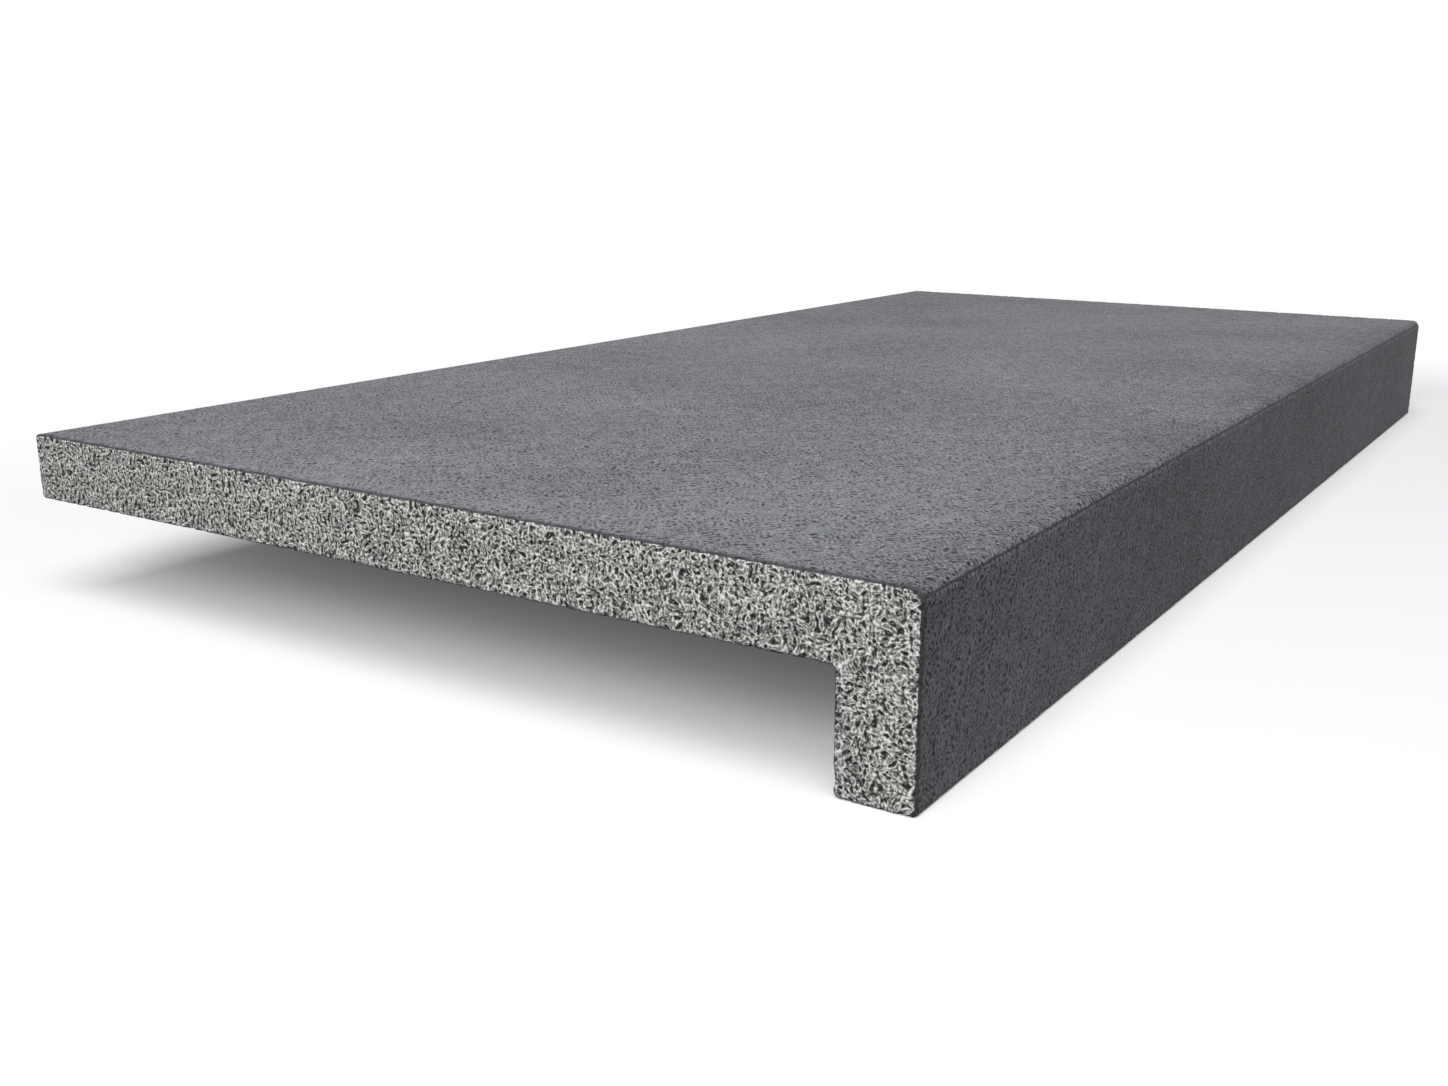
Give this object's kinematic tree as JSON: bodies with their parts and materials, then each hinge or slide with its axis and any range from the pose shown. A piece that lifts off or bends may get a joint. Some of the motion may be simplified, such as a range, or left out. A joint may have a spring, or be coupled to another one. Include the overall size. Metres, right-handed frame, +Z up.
{
  "type": "pool coping stone",
  "caption": "L-shaped drop-face pool coping stone: a flat dark grey stone slab whose pool-side edge turns down over the wall, with a pencil-round nose.",
  "frame": {"origin": "centre of the stone's length and depth, at the foot of the drop, which is its lowest face", "axes": "+X along the pool edge, +Y away from the water towards the back edge, +Z up out of the walking surface"},
  "size_m": [0.9, 0.45, 0.075],
  "materials": {
    "stone": "honed dark grey face, with paler sawn ends"
  },
  "bodies": {
    "root": {"coping_stone": "stone"}
  },
  "joints": []
}
